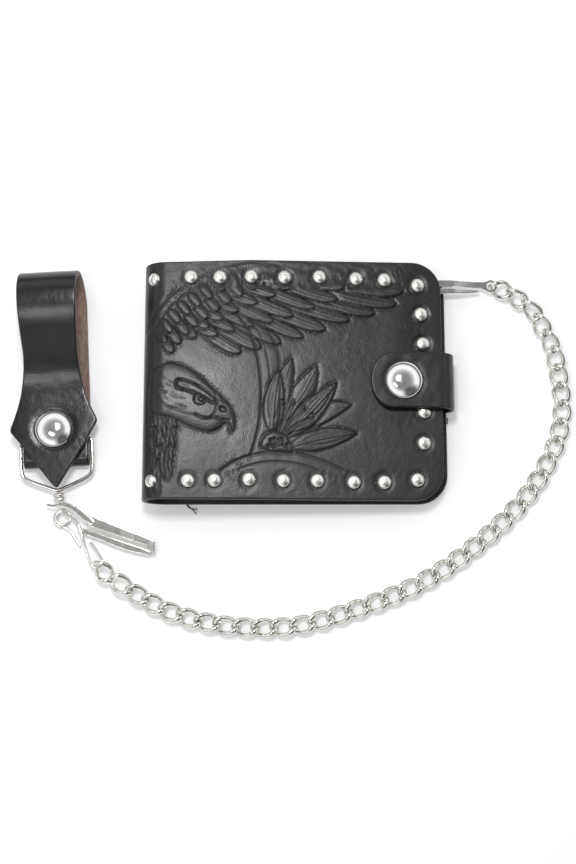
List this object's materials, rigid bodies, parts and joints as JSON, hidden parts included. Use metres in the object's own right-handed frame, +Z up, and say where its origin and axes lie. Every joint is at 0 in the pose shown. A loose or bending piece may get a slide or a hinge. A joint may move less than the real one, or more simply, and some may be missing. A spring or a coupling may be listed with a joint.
{
  "type": "chain wallet",
  "caption": "Studded black leather bifold wallet with a snap tab, held by a curb chain to a folding leather belt loop with a spring clip.",
  "frame": {"origin": "on the surface the object lies on, under the middle of the bounding box of the wallet, strap and clips together (the free chain and its end links left out)", "axes": "+X from the wallet's spine towards its opening edge, +Y towards the wallet's upper edge, +Z up from the surface, out of the closed front cover"},
  "size_m": [0.2259, 0.1505, 0.022],
  "materials": {
    "tooled_leather": "near-black tooled cowhide, satin wax finish",
    "strap_leather": "smooth black cowhide, satin, brown suede inside",
    "lining_leather": "thin black lining leather, dull",
    "clear_sheet": "clear soft vinyl",
    "chrome_cap": "polished",
    "nickel_fittings": "bright nickel",
    "nickel_chain": "bright nickel",
    "nickel_studs": "bright nickel"
  },
  "bodies": {
    "wallet_back": {"back_cover": "tooled_leather", "back_bill_lining": "lining_leather", "back_card_pocket_high": "lining_leather", "back_card_pocket_low": "lining_leather", "tab_base": "tooled_leather", "corner_eyelet": "nickel_fittings", "wallet_clip_body": "nickel_fittings", "chain_first_link": "nickel_chain", "chain": "nickel_chain", "chain_last_link": "nickel_chain", "chain_hook": "nickel_fittings", "key_clip_body": "nickel_fittings", "strap_ring": "nickel_fittings"},
    "spine": {"spine_fold": "tooled_leather", "dome_stud_22": "nickel_studs", "dome_stud_23": "nickel_studs"},
    "front_cover_assembly": {"front_cover": "tooled_leather", "front_bill_lining": "lining_leather", "front_card_pocket": "lining_leather", "id_window_frame": "lining_leather", "id_window_sheet": "clear_sheet", "tab_snap_stud": "nickel_fittings", "dome_stud_01": "nickel_studs", "dome_stud_02": "nickel_studs", "dome_stud_03": "nickel_studs", "dome_stud_04": "nickel_studs", "dome_stud_05": "nickel_studs", "dome_stud_06": "nickel_studs", "dome_stud_07": "nickel_studs", "dome_stud_08": "nickel_studs", "dome_stud_09": "nickel_studs", "dome_stud_10": "nickel_studs", "dome_stud_11": "nickel_studs", "dome_stud_12": "nickel_studs", "dome_stud_13": "nickel_studs", "dome_stud_14": "nickel_studs", "dome_stud_15": "nickel_studs", "dome_stud_16": "nickel_studs", "dome_stud_17": "nickel_studs", "dome_stud_18": "nickel_studs", "dome_stud_19": "nickel_studs", "dome_stud_20": "nickel_studs", "dome_stud_21": "nickel_studs"},
    "tab_bend": {"tab_wrap": "tooled_leather"},
    "tab_end": {"tab_flap": "tooled_leather", "tab_snap_cap": "chrome_cap", "tab_snap_socket": "nickel_fittings"},
    "wallet_clip_arm": {"wallet_clip_gate": "nickel_fittings"},
    "key_clip_arm": {"key_clip_gate": "nickel_fittings"},
    "swivel": {"swivel_barrel": "nickel_fittings"},
    "strap_back": {"strap_back_leaf": "strap_leather", "loop_snap_stud": "nickel_fittings"},
    "strap_bend": {"strap_fold": "strap_leather"},
    "strap_front": {"strap_front_leaf": "strap_leather", "loop_snap_cap": "chrome_cap", "loop_snap_socket": "nickel_fittings"}
  },
  "joints": [
    {"name": "spine_unfold", "type": "hinge", "parent": "wallet_back", "child": "spine", "pos_m": [-0.0434, 0.0128, 0.00279], "axis": [0, -1, 0], "range_deg": [0, 60]},
    {"name": "cover_unfold", "type": "hinge", "parent": "spine", "child": "front_cover_assembly", "pos_m": [-0.04302, 0.0128, 0.01558], "axis": [0, -1, 0], "range_deg": [0, 60]},
    {"name": "tab_bend_open", "type": "hinge", "parent": "wallet_back", "child": "tab_bend", "pos_m": [0.0771, 0.0118, 0.00442], "axis": [0, 1, 0], "range_deg": [0, 75]},
    {"name": "tab_end_open", "type": "hinge", "parent": "tab_bend", "child": "tab_end", "pos_m": [0.07737, 0.0118, 0.0135], "axis": [0, 1, 0], "range_deg": [0, 75]},
    {"name": "strap_on_ring", "type": "slide", "parent": "wallet_back", "child": "strap_back", "axis": [-0.0558, 0.9984, 0], "range_m": [0, 0.0082]},
    {"name": "strap_bend_open", "type": "hinge", "parent": "strap_back", "child": "strap_bend", "pos_m": [-0.08534, 0.0548, 0.00311], "axis": [-0.9984, -0.0558, 0], "range_deg": [0, 75]},
    {"name": "strap_front_open", "type": "hinge", "parent": "strap_bend", "child": "strap_front", "pos_m": [-0.08534, 0.0548, 0.01889], "axis": [-0.9984, -0.0558, 0], "range_deg": [0, 75]},
    {"name": "swivel_turn", "type": "hinge", "parent": "wallet_back", "child": "swivel", "pos_m": [-0.07966, -0.03389, 0.0032], "axis": [-0.2079, 0.9781, 0], "continuous": true},
    {"name": "key_clip_gate_open", "type": "hinge", "parent": "wallet_back", "child": "key_clip_arm", "pos_m": [-0.0717, -0.047, 0.00155], "axis": [0, 0, -1], "range_deg": [0, 8]},
    {"name": "wallet_clip_gate_open", "type": "hinge", "parent": "wallet_back", "child": "wallet_clip_arm", "pos_m": [0.0907, 0.0523, 0.0034], "axis": [0, 0, 1], "range_deg": [0, 12]}
  ],
  "couplings": [
    {"joint": "cover_unfold", "follows": "spine_unfold", "ratio": 1},
    {"joint": "tab_end_open", "follows": "tab_bend_open", "ratio": 1},
    {"joint": "strap_front_open", "follows": "strap_bend_open", "ratio": 1}
  ]
}
